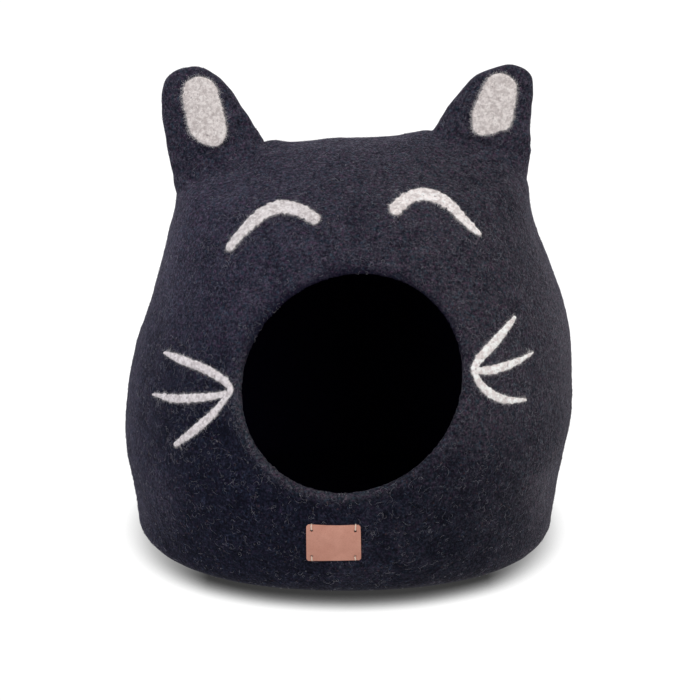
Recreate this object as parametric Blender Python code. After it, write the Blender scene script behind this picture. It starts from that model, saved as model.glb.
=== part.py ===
"""Felt cat cave: a hollow wet-felted wool house with a round doorway and two ears.

Metres, +Z up, the doorway faces -Y, and the origin is the middle of the flat base.
The felt is one piece. The pale wool of the ears, the closed eyes and the whiskers is
laid on it, and a leather patch is sewn on under the doorway.
"""

import math
from collections import namedtuple

import bmesh
import bpy
import numpy as np
from mathutils import Vector
from mathutils.bvhtree import BVHTree

# Driving dimensions
WALL = 0.0075
GAP = 0.0007
RIDGE_TILT = 0.075
RIDGE_TILT_FROM = 0.273
RIDGE_HEIGHT = 0.384

BODY_POINTS = 64
BODY_RINGS = 32
EAR_POINTS = 28
EAR_RINGS = 12

# The body, section by section from the floor up. left, right, front and back are how far
# it reaches from the middle, and squareness is the power of the superellipse.
Section = namedtuple("Section", "height left right front back squareness")
BODY = [
    Section(0.000, 0.189, 0.189, 0.168, 0.170, 2.3),
    Section(0.005, 0.201, 0.198, 0.182, 0.184, 2.25),
    Section(0.016, 0.210, 0.202, 0.195, 0.196, 2.2),
    Section(0.035, 0.211, 0.204, 0.205, 0.206, 2.15),
    Section(0.061, 0.214, 0.207, 0.212, 0.212, 2.1),
    Section(0.093, 0.218, 0.213, 0.215, 0.215, 2.1),
    Section(0.127, 0.217, 0.218, 0.211, 0.214, 2.1),
    Section(0.161, 0.212, 0.218, 0.202, 0.210, 2.1),
    Section(0.195, 0.203, 0.216, 0.191, 0.203, 2.1),
    Section(0.229, 0.191, 0.208, 0.178, 0.193, 2.1),
    Section(0.264, 0.180, 0.195, 0.161, 0.178, 2.15),
    Section(0.294, 0.172, 0.183, 0.143, 0.159, 2.2),
    Section(0.320, 0.167, 0.174, 0.119, 0.137, 2.3),
    Section(0.341, 0.162, 0.170, 0.092, 0.112, 2.4),
    Section(0.358, 0.155, 0.159, 0.063, 0.083, 2.4),
    Section(0.371, 0.140, 0.143, 0.037, 0.056, 2.4),
    Section(0.380, 0.122, 0.125, 0.014, 0.032, 2.3),
    Section(0.384, 0.100, 0.104, -0.006, 0.006, 2.2),
]

# An ear, section by section from its root inside the body to its tip. outer and inner are
# its two edges, as distances from the middle of the cave, and depth is half its thickness.
EarSection = namedtuple("EarSection", "height outer inner depth back_shift")
LEFT_EAR = [
    EarSection(0.312, 0.154, 0.112, 0.040, 0.012),
    EarSection(0.337, 0.166, 0.100, 0.042, 0.010),
    EarSection(0.358, 0.169, 0.085, 0.035, 0.008),
    EarSection(0.379, 0.171, 0.070, 0.027, 0.007),
    EarSection(0.389, 0.172, 0.081, 0.023, 0.006),
    EarSection(0.401, 0.174, 0.091, 0.020, 0.006),
    EarSection(0.415, 0.175, 0.101, 0.017, 0.006),
    EarSection(0.431, 0.174, 0.110, 0.014, 0.006),
    EarSection(0.442, 0.168, 0.120, 0.011, 0.006),
    EarSection(0.450, 0.156, 0.132, 0.007, 0.006),
    EarSection(0.453, 0.146, 0.140, 0.001, 0.006),
]
RIGHT_EAR = [
    EarSection(0.312, 0.156, 0.112, 0.040, 0.012),
    EarSection(0.337, 0.167, 0.099, 0.042, 0.010),
    EarSection(0.358, 0.171, 0.082, 0.035, 0.008),
    EarSection(0.379, 0.172, 0.060, 0.027, 0.007),
    EarSection(0.389, 0.172, 0.074, 0.023, 0.006),
    EarSection(0.401, 0.172, 0.085, 0.020, 0.006),
    EarSection(0.415, 0.173, 0.096, 0.017, 0.006),
    EarSection(0.431, 0.174, 0.108, 0.014, 0.006),
    EarSection(0.443, 0.173, 0.118, 0.011, 0.006),
    EarSection(0.452, 0.165, 0.135, 0.007, 0.006),
    EarSection(0.456, 0.154, 0.148, 0.001, 0.006),
]
EAR_CUP = 0.005
EAR_CUP_DEPTH = 0.019
EAR_SQUARENESS = 2.2

# The face is laid out on a plane that leans back, and pressed onto the felt square to it.
FACE_TILT = math.radians(17)
ACROSS = Vector((1.0, 0.0, 0.0))
RISE = Vector((0.0, math.sin(FACE_TILT), math.cos(FACE_TILT)))
OUT = Vector((0.0, -math.cos(FACE_TILT), math.sin(FACE_TILT)))

# The doorway is an ellipse, cut through the wall along OUT. Its lip is rounded from the
# innermost line, LIP_DEPTH into the wall: how far each side runs along the wall, and how
# far out of it or into it.
DOOR_MIDDLE = Vector((0.003, -0.185, 0.2054))
DOOR_LONG = 0.100
DOOR_SHORT = 0.0935
DOOR_TURN = math.radians(40)
DOOR_REACH = 0.16
DOOR_POINTS = 64
LIP_DEPTH = 0.0055
LIP_OUTER = (0.0090, 0.0055)
LIP_INNER = (0.0030, 0.0020)
LIP_TURN = 72
LIP_POINTS = 9
FLARE = 0.012

# Each laid piece is a strip: the line along its middle, and half its width there.
Strip = namedtuple("Strip", "x rise half_width")
EYE_LEFT = [
    Strip(-0.108, 0.26, 0.002),
    Strip(-0.1025, 0.2675, 0.003),
    Strip(-0.0945, 0.277, 0.0045),
    Strip(-0.0865, 0.285, 0.0055),
    Strip(-0.0735, 0.2955, 0.006),
    Strip(-0.059, 0.2995, 0.0065),
    Strip(-0.045, 0.2965, 0.006),
    Strip(-0.0325, 0.2895, 0.0055),
    Strip(-0.026, 0.285, 0.005),
]
EYE_RIGHT = [
    Strip(0.0395, 0.2925, 0.005),
    Strip(0.044, 0.298, 0.0055),
    Strip(0.0555, 0.308, 0.006),
    Strip(0.0675, 0.3115, 0.006),
    Strip(0.08, 0.309, 0.006),
    Strip(0.0925, 0.301, 0.0055),
    Strip(0.1035, 0.289, 0.0045),
    Strip(0.1135, 0.279, 0.003),
    Strip(0.12, 0.2735, 0.002),
]
WHISKER_BEND_LEFT = [
    Strip(-0.168, 0.167, 0.002),
    Strip(-0.156, 0.163, 0.003),
    Strip(-0.1385, 0.157, 0.004),
    Strip(-0.1275, 0.152, 0.0045),
    Strip(-0.114, 0.144, 0.004),
    Strip(-0.108, 0.1385, 0.0035),
    Strip(-0.105, 0.133, 0.003),
    Strip(-0.1075, 0.127, 0.003),
    Strip(-0.1135, 0.1205, 0.0035),
    Strip(-0.122, 0.112, 0.004),
    Strip(-0.133, 0.102, 0.004),
    Strip(-0.144, 0.0925, 0.0035),
    Strip(-0.1565, 0.0845, 0.002),
]
WHISKER_MIDDLE_LEFT = [
    Strip(-0.1785, 0.1285, 0.002),
    Strip(-0.167, 0.127, 0.003),
    Strip(-0.144, 0.127, 0.004),
    Strip(-0.124, 0.129, 0.004),
    Strip(-0.112, 0.131, 0.003),
]
WHISKER_BEND_RIGHT = [
    Strip(0.151, 0.2005, 0.002),
    Strip(0.1425, 0.1895, 0.003),
    Strip(0.1325, 0.1795, 0.004),
    Strip(0.123, 0.1695, 0.004),
    Strip(0.1155, 0.1615, 0.0035),
    Strip(0.112, 0.1545, 0.003),
    Strip(0.1135, 0.1465, 0.003),
    Strip(0.1195, 0.1375, 0.0035),
    Strip(0.1295, 0.13, 0.0035),
    Strip(0.1395, 0.126, 0.0035),
    Strip(0.149, 0.125, 0.003),
    Strip(0.162, 0.1255, 0.002),
]
WHISKER_MIDDLE_RIGHT = [
    Strip(0.168, 0.1675, 0.002),
    Strip(0.1575, 0.162, 0.003),
    Strip(0.1425, 0.1565, 0.0035),
    Strip(0.1275, 0.1525, 0.0035),
    Strip(0.1175, 0.152, 0.003),
]
EAR_INLAY_LEFT = [
    Strip(-0.1375, 0.424, 0.0155),
    Strip(-0.137, 0.416, 0.0165),
    Strip(-0.135, 0.402, 0.017),
    Strip(-0.1335, 0.39, 0.018),
    Strip(-0.1315, 0.38, 0.018),
    Strip(-0.13, 0.37, 0.0165),
    Strip(-0.129, 0.364, 0.014),
    Strip(-0.1295, 0.359, 0.011),
]
EAR_INLAY_RIGHT = [
    Strip(0.143, 0.427, 0.0145),
    Strip(0.1415, 0.42, 0.0155),
    Strip(0.1395, 0.411, 0.017),
    Strip(0.1365, 0.402, 0.018),
    Strip(0.134, 0.393, 0.019),
    Strip(0.1315, 0.384, 0.019),
    Strip(0.1295, 0.377, 0.018),
    Strip(0.1285, 0.372, 0.0165),
]
PATCH = [
    Strip(-0.037, -0.0015, 0.017),
    Strip(-0.013, -0.002, 0.016),
    Strip(0.011, -0.001, 0.016),
]
PATCH_HOLES = [(-0.032, 0.011), (0.006, 0.0105), (-0.032, -0.014), (0.006, -0.013)]
HOLE_RADIUS = 0.0011
HOLE_POINTS = 16

# How a piece is laid: points along and across it, its thickness in the middle and at the
# edge, the length of its rounded ends as a share of half its width, and how far in from
# the sides the rounding reaches (a whole rounded end, or only a corner).
Laying = namedtuple("Laying", "along across thickness edge round_end corner")
EYE_LAYING = Laying(24, 7, 0.0024, 0.0006, 0.9, 1.0)
BEND_LAYING = Laying(30, 5, 0.0020, 0.0006, 0.9, 1.0)
WHISKER_LAYING = Laying(16, 5, 0.0020, 0.0006, 0.9, 1.0)
INLAY_LAYING = Laying(18, 9, 0.0022, 0.0008, 0.75, 1.0)
PATCH_LAYING = Laying(14, 9, 0.0015, 0.0015, 0.16, 0.0027)


def new_collection(name):
    collection = bpy.data.collections.new(name)
    bpy.context.scene.collection.children.link(collection)
    return collection


def clear_scene():
    for obj in list(bpy.data.objects):
        bpy.data.objects.remove(obj, do_unlink=True)


def material(name, colour, roughness):
    made = bpy.data.materials.new(name)
    made.use_nodes = True
    shader = made.node_tree.nodes["Principled BSDF"]
    shader.inputs["Base Color"].default_value = (*colour, 1.0)
    shader.inputs["Roughness"].default_value = roughness
    return made


def curve_through(rows):
    """The length of the smooth curve that runs through the rows, and the row at a distance."""
    rows = np.array(rows, float)
    steps = np.linalg.norm(np.diff(rows[:, :-1], axis=0), axis=1)
    places = np.concatenate([[0.0], np.cumsum(steps)])
    slopes = np.gradient(rows, places, axis=0)

    def row_at(place):
        i = min(int(np.searchsorted(places, place, side="right")) - 1, len(rows) - 2)
        gap = places[i + 1] - places[i]
        t = (place - places[i]) / gap
        return (
            (2 * t**3 - 3 * t**2 + 1) * rows[i]
            + (t**3 - 2 * t**2 + t) * slopes[i] * gap
            + (3 * t**2 - 2 * t**3) * rows[i + 1]
            + (t**3 - t**2) * slopes[i + 1] * gap
        )

    return places[-1], row_at


def smooth_rows(rows, count):
    """count rows, evenly spaced along the smooth curve that runs through the given rows."""
    length, row_at = curve_through(rows)
    return [row_at(place) for place in np.linspace(0.0, length, count)]


def superellipse(angle, power):
    """The point of a unit superellipse at that angle."""
    x, y = math.cos(angle), math.sin(angle)
    return (
        math.copysign(abs(x) ** (2 / power), x),
        math.copysign(abs(y) ** (2 / power), y),
    )


def loft(name, rings, collection, closed_top):
    """A closed mesh through the rings, with a flat face under the first one."""
    mesh = bmesh.new()
    rows = [[mesh.verts.new(point) for point in ring] for ring in rings]
    count = len(rings[0])
    for below, above in zip(rows, rows[1:]):
        for i in range(count):
            j = (i + 1) % count
            mesh.faces.new((below[i], below[j], above[j], above[i]))
    mesh.faces.new(reversed(rows[0]))
    if closed_top:
        mesh.faces.new(rows[-1])
    bmesh.ops.remove_doubles(mesh, verts=mesh.verts, dist=1e-5)
    bmesh.ops.recalc_face_normals(mesh, faces=mesh.faces)
    if mesh.calc_volume(signed=True) < 0:
        bmesh.ops.reverse_faces(mesh, faces=mesh.faces)
    data = bpy.data.meshes.new(name)
    mesh.to_mesh(data)
    mesh.free()
    data.shade_smooth()
    obj = bpy.data.objects.new(name, data)
    collection.objects.link(obj)
    return obj


def ridge_lift(x, z):
    """The top leans, so that the ridge between the ears climbs to the right."""
    share = max(0.0, (z - RIDGE_TILT_FROM) / (RIDGE_HEIGHT - RIDGE_TILT_FROM))
    return RIDGE_TILT * x * share**2


def body_rings():
    rings = []
    for height, left, right, front, back, power in smooth_rows(BODY, BODY_RINGS):
        middle_x, half_x = (right - left) / 2, (left + right) / 2
        middle_y, half_y = (back - front) / 2, (front + back) / 2
        ring = []
        for i in range(BODY_POINTS):
            across, along = superellipse(2 * math.pi * i / BODY_POINTS, power)
            x, y = middle_x + half_x * across, middle_y + half_y * along
            ring.append(Vector((x, y, height + ridge_lift(x, height))))
        rings.append(ring)
    return rings


def ear_rings(sections, side):
    """side is -1 for the ear on the left, and 1 for the one on the right."""
    rings = []
    for height, outer, inner, depth, back_shift in smooth_rows(sections, EAR_RINGS):
        middle_x, half_x = side * (outer + inner) / 2, (outer - inner) / 2
        ring = []
        for i in range(EAR_POINTS):
            across, along = superellipse(2 * math.pi * i / EAR_POINTS, EAR_SQUARENESS)
            cup = EAR_CUP * (1 - across**2) * min(1.0, depth / EAR_CUP_DEPTH)
            y = back_shift + depth * along + cup
            ring.append(Vector((middle_x + half_x * across, y, height)))
        rings.append(ring)
    return rings


def boolean(obj, operation, other):
    modifier = obj.modifiers.new(f"{operation.lower()}_{other.name}", "BOOLEAN")
    modifier.operation = operation
    modifier.object = other
    modifier.solver = "EXACT"
    return modifier


def as_cutter(obj):
    obj.hide_render = True
    obj.display_type = "WIRE"
    return obj


def make_cavity(cutters):
    """The inside: the body's form, a wall's thickness smaller all round."""
    cavity = as_cutter(loft("cavity", body_rings(), cutters, closed_top=False))
    shrink = cavity.modifiers.new("wall", "DISPLACE")
    shrink.strength = -WALL
    shrink.mid_level = 0.0
    return cavity


def make_door_cutter(cutters, outside, inside):
    """A spool, narrowest inside the wall, so that the felt keeps a rounded lip."""
    def in_wall(place):
        outer = outside.ray_cast(place + OUT * DOOR_REACH, -OUT)[0]
        return outer.lerp(inside.ray_cast(outer, -OUT)[0], LIP_DEPTH / WALL)

    columns = []
    for i in range(DOOR_POINTS):
        angle = 2 * math.pi * i / DOOR_POINTS
        long_way = ACROSS * math.cos(DOOR_TURN) + RISE * math.sin(DOOR_TURN)
        short_way = RISE * math.cos(DOOR_TURN) - ACROSS * math.sin(DOOR_TURN)
        place = (
            DOOR_MIDDLE
            + long_way * DOOR_LONG * math.cos(angle)
            + short_way * DOOR_SHORT * math.sin(angle)
        )
        outwards = (place - DOOR_MIDDLE).normalized()
        middle = in_wall(place)
        along = (in_wall(place + outwards * 0.006) - middle).normalized()
        normal = (OUT - along * OUT.dot(along)).normalized()
        lip = []
        for turn in np.radians(np.linspace(-LIP_TURN, LIP_TURN, LIP_POINTS)):
            run, depth = LIP_OUTER if turn > 0 else LIP_INNER
            lip.append(
                middle + along * run * (1 - math.cos(turn)) + normal * depth * math.sin(turn)
            )
        leave = (lip[-1] - lip[-2]).normalized()
        enter = (lip[0] - lip[1]).normalized()
        lip = [lip[0] + enter * FLARE, *lip, lip[-1] + leave * FLARE]
        first = lip[0] - OUT * (OUT.dot(lip[0] - DOOR_MIDDLE) + DOOR_REACH / 2)
        last = lip[-1] - OUT * (OUT.dot(lip[-1] - DOOR_MIDDLE) - DOOR_REACH / 2)
        columns.append([first, *lip, last])
    rings = [[column[i] for column in columns] for i in range(len(columns[0]))]
    return as_cutter(loft("door_cutter", rings, cutters, closed_top=True))


def surface_of(obj):
    graph = bpy.context.evaluated_depsgraph_get()
    return BVHTree.FromObject(obj, graph)


def make_shell(parts, cutters, felt):
    shell = loft("felt_shell", body_rings(), parts, closed_top=False)
    shell.data.materials.append(felt)
    for name, sections, side in (("ear_left", LEFT_EAR, -1), ("ear_right", RIGHT_EAR, 1)):
        ear = as_cutter(loft(name, ear_rings(sections, side), cutters, closed_top=True))
        boolean(shell, "UNION", ear)
    cavity = make_cavity(cutters)
    outside = BVHTree.FromPolygons(
        [vertex.co for vertex in shell.data.vertices],
        [tuple(face.vertices) for face in shell.data.polygons],
    )
    boolean(shell, "DIFFERENCE", cavity)
    door = make_door_cutter(cutters, outside, surface_of(cavity))
    boolean(shell, "DIFFERENCE", door)
    return shell


def pressed(surface, x, rise, height):
    """The point that far above the felt, over that place on the face plane."""
    start = ACROSS * x + RISE * rise + OUT
    point, normal = surface.ray_cast(start, -OUT)[:2]
    return point + normal * (GAP + height)


def lay_piece(name, strip, laying, surface, parts, look):
    """A strip of wool or leather that follows the felt under it."""
    length, row_at = curve_through(strip)
    caps = [laying.round_end * strip[0].half_width, laying.round_end * strip[-1].half_width]
    turns = np.linspace(0.0, math.pi / 2, 5)
    starts = [caps[0] * (1 - math.cos(turn)) for turn in turns]
    ends = [length - caps[1] * (1 - math.cos(turn)) for turn in reversed(turns)]
    middle = np.linspace(caps[0], length - caps[1], laying.along - 6)[1:-1]
    rings = []
    for place in [*starts, *middle, *ends]:
        x, rise, half_width = row_at(place)
        before, after = row_at(max(place - 1e-4, 0.0)), row_at(min(place + 1e-4, length))
        step = np.array(after[:2] - before[:2]) / np.linalg.norm(after[:2] - before[:2])
        near = min(place / caps[0], (length - place) / caps[1], 1.0)
        fullness = math.sqrt(max(0.0, 1 - (1 - near) ** 2))
        half_width -= min(half_width, laying.corner) * (1 - fullness)
        below, above = [], []
        for share in np.sin(np.linspace(-math.pi / 2, math.pi / 2, laying.across)):
            shift = share * half_width
            crown = math.sqrt(max(0.0, 1 - share**2)) * fullness
            height = laying.edge + (laying.thickness - laying.edge) * crown
            where = (x - step[1] * shift, rise + step[0] * shift)
            below.append(pressed(surface, *where, 0.0))
            above.append(pressed(surface, *where, height))
        rings.append(below + above[::-1])
    piece = loft(name, rings, parts, closed_top=True)
    piece.data.materials.append(look)
    return piece


def make_patch(surface, parts, cutters, leather):
    patch = lay_piece("leather_patch", PATCH, PATCH_LAYING, surface, parts, leather)
    for number, (x, rise) in enumerate(PATCH_HOLES, 1):
        rings = []
        for height in (-0.004, 0.006):
            ring = []
            for i in range(HOLE_POINTS):
                angle = 2 * math.pi * i / HOLE_POINTS
                ring.append(
                    pressed(surface, x, rise, height)
                    + ACROSS * HOLE_RADIUS * math.cos(angle)
                    + RISE * HOLE_RADIUS * math.sin(angle)
                )
            rings.append(ring)
        hole = as_cutter(loft(f"hole_{number}", rings, cutters, closed_top=True))
        boolean(patch, "DIFFERENCE", hole)
    return patch


def main():
    clear_scene()
    parts = new_collection("felt_cat_cave")
    cutters = new_collection("cutters")
    cutters.hide_render = True
    felt = material("charcoal_felt", (0.023, 0.023, 0.034), 0.95)
    wool = material("pale_wool", (0.62, 0.57, 0.56), 0.95)
    leather = material("tan_leather", (0.46, 0.22, 0.16), 0.6)

    surface = surface_of(make_shell(parts, cutters, felt))
    laid = (
        ("ear_inlay_left", EAR_INLAY_LEFT, INLAY_LAYING),
        ("ear_inlay_right", EAR_INLAY_RIGHT, INLAY_LAYING),
        ("eye_left", EYE_LEFT, EYE_LAYING),
        ("eye_right", EYE_RIGHT, EYE_LAYING),
        ("whisker_bend_left", WHISKER_BEND_LEFT, BEND_LAYING),
        ("whisker_bend_right", WHISKER_BEND_RIGHT, BEND_LAYING),
        ("whisker_middle_left", WHISKER_MIDDLE_LEFT, WHISKER_LAYING),
        ("whisker_middle_right", WHISKER_MIDDLE_RIGHT, WHISKER_LAYING),
    )
    for name, strip, laying in laid:
        lay_piece(name, strip, laying, surface, parts, wool)
    make_patch(surface, parts, cutters, leather)


main()
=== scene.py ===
"""The looks of the felt cat cave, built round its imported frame. Metres, +Z up, face to -Y."""
import math
from collections import namedtuple

import bmesh
import bpy
import numpy as np
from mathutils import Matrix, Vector, noise
from mathutils.bvhtree import BVHTree
from mathutils.kdtree import KDTree


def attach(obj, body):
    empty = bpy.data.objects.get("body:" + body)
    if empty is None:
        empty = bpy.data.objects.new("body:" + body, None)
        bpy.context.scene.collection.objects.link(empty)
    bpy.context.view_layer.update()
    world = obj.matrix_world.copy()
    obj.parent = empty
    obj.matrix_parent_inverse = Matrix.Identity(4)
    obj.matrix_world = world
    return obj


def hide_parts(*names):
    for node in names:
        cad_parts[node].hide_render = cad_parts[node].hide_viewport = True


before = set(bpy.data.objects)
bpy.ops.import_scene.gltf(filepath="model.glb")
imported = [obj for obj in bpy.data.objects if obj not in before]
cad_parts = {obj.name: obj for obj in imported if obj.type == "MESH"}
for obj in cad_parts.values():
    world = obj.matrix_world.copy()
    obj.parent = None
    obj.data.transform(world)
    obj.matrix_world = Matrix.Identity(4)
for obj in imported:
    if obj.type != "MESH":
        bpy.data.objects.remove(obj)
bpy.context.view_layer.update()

ROOT = "root"

# ---------------------------------------------------------------- the cave's own sizes
WALL = 0.0075
RIDGE_TILT = 0.075
RIDGE_TILT_FROM = 0.273
RIDGE_HEIGHT = 0.384
BODY_POINTS = 256
BODY_RINGS = 128
EAR_POINTS = 96
EAR_RINGS = 56


def table(kind, *rows):
    """The rows as named tuples of that kind."""
    return [kind(*row) for row in rows]


Section = namedtuple("Section", "height left right front back squareness")
BODY = table(
    Section,
    (0.000, 0.189, 0.189, 0.168, 0.170, 2.3),
    (0.005, 0.201, 0.198, 0.182, 0.184, 2.25),
    (0.016, 0.208, 0.202, 0.195, 0.196, 2.2),
    (0.035, 0.2095, 0.204, 0.205, 0.206, 2.15),
    (0.061, 0.2135, 0.2075, 0.212, 0.212, 2.1),
    (0.093, 0.218, 0.2136, 0.215, 0.215, 2.1),
    (0.127, 0.217, 0.2185, 0.211, 0.214, 2.1),
    (0.161, 0.2125, 0.2185, 0.202, 0.210, 2.1),
    (0.195, 0.203, 0.216, 0.191, 0.203, 2.1),
    (0.229, 0.191, 0.208, 0.178, 0.193, 2.1),
    (0.264, 0.180, 0.195, 0.161, 0.178, 2.15),
    (0.294, 0.1715, 0.183, 0.143, 0.159, 2.2),
    (0.320, 0.1650, 0.174, 0.119, 0.137, 2.3),
    (0.341, 0.162, 0.170, 0.092, 0.112, 2.4),
    (0.358, 0.155, 0.159, 0.063, 0.083, 2.4),
    (0.371, 0.140, 0.143, 0.037, 0.056, 2.4),
    (0.380, 0.122, 0.125, 0.014, 0.032, 2.3),
    (0.384, 0.100, 0.104, -0.006, 0.006, 2.2),
)

EarSection = namedtuple("EarSection", "height outer inner depth back_shift")
LEFT_EAR = table(
    EarSection,
    (0.312, 0.154, 0.112, 0.040, 0.012),
    (0.337, 0.1640, 0.104, 0.042, 0.010),
    (0.358, 0.1670, 0.092, 0.035, 0.008),
    (0.379, 0.171, 0.0825, 0.027, 0.007),
    (0.389, 0.172, 0.0880, 0.023, 0.006),
    (0.401, 0.174, 0.0935, 0.020, 0.006),
    (0.415, 0.175, 0.1015, 0.017, 0.006),
    (0.431, 0.174, 0.1115, 0.014, 0.006),
    (0.442, 0.170, 0.121, 0.011, 0.006),
    (0.450, 0.159, 0.132, 0.007, 0.006),
    (0.453, 0.146, 0.140, 0.001, 0.006),
)
RIGHT_EAR = table(
    EarSection,
    (0.312, 0.156, 0.112, 0.040, 0.012),
    (0.337, 0.167, 0.099, 0.042, 0.010),
    (0.358, 0.171, 0.084, 0.035, 0.008),
    (0.379, 0.172, 0.074, 0.027, 0.007),
    (0.389, 0.172, 0.0815, 0.023, 0.006),
    (0.401, 0.172, 0.0885, 0.020, 0.006),
    (0.415, 0.173, 0.096, 0.017, 0.006),
    (0.431, 0.174, 0.108, 0.014, 0.006),
    (0.443, 0.173, 0.118, 0.011, 0.006),
    (0.452, 0.165, 0.135, 0.007, 0.006),
    (0.456, 0.154, 0.148, 0.001, 0.006),
)
EAR_CUP = 0.005
EAR_CUP_DEPTH = 0.019
EAR_SQUARENESS = 2.2

FACE_TILT = math.radians(17)
ACROSS = Vector((1.0, 0.0, 0.0))
RISE = Vector((0.0, math.sin(FACE_TILT), math.cos(FACE_TILT)))
OUT = Vector((0.0, -math.cos(FACE_TILT), math.sin(FACE_TILT)))

DOOR_MIDDLE = Vector((0.0034, -0.185, 0.2043))
DOOR_LONG = 0.1004
DOOR_SHORT = 0.0918
DOOR_TURN = math.radians(40)
DOOR_REACH = 0.16
DOOR_POINTS = 192
# The lip's two sides, from its innermost line: how far each runs along the wall and into it.
LIP_DEPTH = 0.0055
LIP_OUTER = (0.0090, 0.0055)
LIP_INNER = (0.0030, 0.0020)
LIP_TURN = 72
LIP_POINTS = 17
FLARE = 0.012
# How far apart the two places are that give the wall's direction at the lip.
LIP_PROBE = 0.006

Strip = namedtuple("Strip", "x rise half_width")
EYE_LEFT = table(
    Strip,
    (-0.1085, 0.2595, 0.0036),
    (-0.1025, 0.2675, 0.0040),
    (-0.0945, 0.277, 0.0045),
    (-0.0865, 0.285, 0.0055),
    (-0.0735, 0.2955, 0.006),
    (-0.059, 0.2995, 0.0065),
    (-0.045, 0.2965, 0.006),
    (-0.0325, 0.2895, 0.0055),
    (-0.026, 0.285, 0.005),
)
EYE_RIGHT = table(
    Strip,
    (0.0395, 0.2925, 0.0056),
    (0.044, 0.298, 0.0061),
    (0.0555, 0.308, 0.006),
    (0.0675, 0.3115, 0.006),
    (0.08, 0.309, 0.006),
    (0.0925, 0.301, 0.0050),
    (0.1035, 0.289, 0.0040),
    (0.1135, 0.279, 0.0032),
    (0.12, 0.2738, 0.0016),
)
WHISKER_BEND_LEFT = table(
    Strip,
    (-0.1690, 0.1675, 0.0011),
    (-0.1610, 0.1650, 0.0027),
    (-0.1520, 0.1615, 0.0038),
    (-0.1400, 0.1575, 0.0039),
    (-0.1280, 0.1530, 0.0040),
    (-0.1140, 0.1455, 0.0037),
    (-0.1065, 0.1400, 0.0033),
    (-0.1040, 0.1350, 0.0026),
    (-0.1075, 0.1285, 0.0024),
    (-0.1135, 0.1210, 0.0028),
    (-0.1215, 0.1120, 0.0035),
    (-0.1330, 0.1020, 0.0038),
    (-0.1460, 0.0915, 0.0033),
    (-0.1570, 0.0835, 0.0020),
)
WHISKER_MIDDLE_LEFT = table(
    Strip,
    (-0.1800, 0.1290, 0.0009),
    (-0.1720, 0.1280, 0.0022),
    (-0.1620, 0.1262, 0.0035),
    (-0.1440, 0.1265, 0.0039),
    (-0.1240, 0.1285, 0.0033),
    (-0.1120, 0.1305, 0.0027),
    (-0.1065, 0.1325, 0.0024),
)
WHISKER_BEND_RIGHT = table(
    Strip,
    (0.1510, 0.2005, 0.0015),
    (0.1450, 0.1930, 0.0028),
    (0.1325, 0.1790, 0.0041),
    (0.1230, 0.1690, 0.0043),
    (0.1155, 0.1610, 0.0038),
    (0.1120, 0.1545, 0.0031),
    (0.1135, 0.1465, 0.0029),
    (0.1195, 0.1375, 0.0035),
    (0.1295, 0.1300, 0.0039),
    (0.1395, 0.1260, 0.0036),
    (0.1490, 0.1250, 0.0027),
    (0.1610, 0.1250, 0.0011),
)
WHISKER_MIDDLE_RIGHT = table(
    Strip,
    (0.1680, 0.1680, 0.0008),
    (0.1600, 0.1635, 0.0019),
    (0.1500, 0.1590, 0.0032),
    (0.1380, 0.1550, 0.0039),
    (0.1260, 0.1522, 0.0039),
    (0.1175, 0.1520, 0.0032),
    (0.1135, 0.1530, 0.0026),
)
EAR_INLAY_LEFT = table(
    Strip,
    (-0.1406, 0.4256, 0.0066),
    (-0.1401, 0.4206, 0.0122),
    (-0.1391, 0.4142, 0.0156),
    (-0.1374, 0.4041, 0.0174),
    (-0.1351, 0.3939, 0.0176),
    (-0.1326, 0.3834, 0.0180),
    (-0.1309, 0.3753, 0.0170),
    (-0.1308, 0.3704, 0.0156),
    (-0.1316, 0.3663, 0.0136),
    (-0.1328, 0.3622, 0.0108),
)
EAR_INLAY_RIGHT = table(
    Strip,
    (0.1446, 0.4286, 0.0075),
    (0.1440, 0.4247, 0.0110),
    (0.1436, 0.4215, 0.0135),
    (0.1424, 0.4137, 0.0162),
    (0.1406, 0.4060, 0.0174),
    (0.1383, 0.3990, 0.0184),
    (0.1358, 0.3901, 0.0194),
    (0.1336, 0.3842, 0.0184),
    (0.1322, 0.3793, 0.0166),
    (0.1319, 0.3752, 0.0148),
    (0.1324, 0.3720, 0.0126),
)
PATCH = table(
    Strip,
    (-0.0366, 0.0004, 0.0168),
    (-0.0126, 0.0002, 0.0161),
    (0.0113, 0.0007, 0.0162),
)

# How far in from a piece's edge, as a share of half its width, the felt shows through the wool.
THIN_EDGE = 0.12

# Each hole, and the way its stitch goes over the patch's edge (up or down).
Hole = namedtuple("Hole", "x rise edge lean")
PATCH_HOLES = table(
    Hole,
    (-0.0320, 0.0118, 0.0166, -0.0002),
    (0.0064, 0.0113, 0.0164, 0.0003),
    (-0.0320, -0.0119, -0.0161, 0.0002),
    (0.0062, -0.0118, -0.0154, 0.0003),
)
HOLE_RADIUS = 0.0013
THREAD_RADIUS = 0.00065

# How a piece is laid: points along and across it, its thickness in the middle and at its
# edge, the length of its rounded ends as a share of half its width, how much narrower each
# side gets there, and how ragged its outline and how lumpy its top are.
Laying = namedtuple("Laying", "along across thickness edge round_end corner ragged lumps")
EYE_LAYING = Laying(170, 21, 0.0022, 0.0002, 0.9, 1.0, 0.0014, 0.00045)
BEND_LAYING = Laying(230, 17, 0.0018, 0.0002, 0.9, 1.0, 0.0011, 0.00035)
WHISKER_LAYING = Laying(130, 17, 0.0018, 0.0002, 0.9, 1.0, 0.0011, 0.00035)
INLAY_LAYING = Laying(110, 51, 0.0015, 0.0002, 0.65, 0.0100, 0.0014, 0.00035)
PATCH_LAYING = Laying(64, 45, 0.0015, 0.0015, 0.16, 0.0027, 0.0, 0.00004)

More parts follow.
